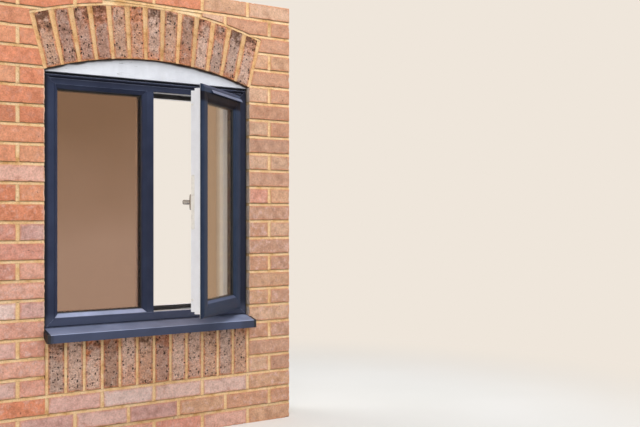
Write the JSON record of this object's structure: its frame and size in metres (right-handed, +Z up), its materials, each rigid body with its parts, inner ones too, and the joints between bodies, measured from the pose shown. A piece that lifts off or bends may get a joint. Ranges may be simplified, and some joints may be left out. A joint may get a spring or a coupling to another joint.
{
  "type": "casement window in arched brick opening",
  "caption": "Outward-opening casement beside a fixed light, in a segmental-arched opening of a cut-out cavity wall panel with sill and window board.",
  "frame": {"origin": "middle of the underside of the outer brick leaf, below the middle of the opening", "axes": "+X right as seen from outside, +Y from outside into the room, +Z up"},
  "size_m": [1.34, 0.5863, 1.865],
  "materials": {
    "facing_brick": "wire-cut fired clay",
    "brindled_brick": "brindled fired clay",
    "mortar": "bucket-handle pointed sand mortar",
    "mineral_wool": "matt fibre batt",
    "block": "aerated concrete",
    "concrete": "cast, fair faced",
    "plaster": "skimmed and painted matt",
    "painted_board": "satin white paint",
    "anthracite_upvc": "anthracite woodgrain foil outside, white inside",
    "white_upvc": "smooth white",
    "sealant": "tooled silicone",
    "glass": "clear float",
    "warm_edge_spacer": "black warm-edge bar",
    "gasket_rubber": "extruded",
    "stay_steel": "ferritic stainless",
    "lock_steel": "zinc plated",
    "keep_metal": "die-cast",
    "white_handle": "white powder coat"
  },
  "bodies": {
    "root": {"brickwork_left": "facing_brick", "brickwork_right": "facing_brick", "brickwork_below": "facing_brick", "brickwork_above": "facing_brick", "arch_bricks": "brindled_brick", "arch_mortar": "mortar", "soldier_bricks": "brindled_brick", "soldier_mortar": "mortar", "insulation_sides": "mineral_wool", "insulation_middle": "mineral_wool", "blockwork_sides": "block", "blockwork_middle": "block", "lintel": "concrete", "plaster_sides": "plaster", "plaster_middle": "plaster", "window_board": "painted_board", "sill_bed": "mortar", "sill": "anthracite_upvc", "sill_caps": "anthracite_upvc", "side_seals": "sealant", "head_strip": "anthracite_upvc", "infill_panel": "white_upvc", "frame_head": "anthracite_upvc", "frame_bottom": "anthracite_upvc", "frame_jamb_left": "anthracite_upvc", "frame_jamb_right": "anthracite_upvc", "mullion": "anthracite_upvc", "frame_gasket": "gasket_rubber", "fixed_glass": "glass", "fixed_beads": "anthracite_upvc", "sash_top_rail": "anthracite_upvc", "sash_bottom_rail": "anthracite_upvc", "sash_hinge_stile": "anthracite_upvc", "sash_lock_stile": "anthracite_upvc", "sash_glass": "glass", "sash_beads": "anthracite_upvc", "drip_bar": "anthracite_upvc", "glass_spacers": "warm_edge_spacer", "glass_gaskets": "gasket_rubber", "stay_top": "stay_steel", "stay_bottom": "stay_steel", "lock_strip": "lock_steel", "lock_keeps": "keep_metal", "handle": "white_handle"}
  },
  "joints": []
}
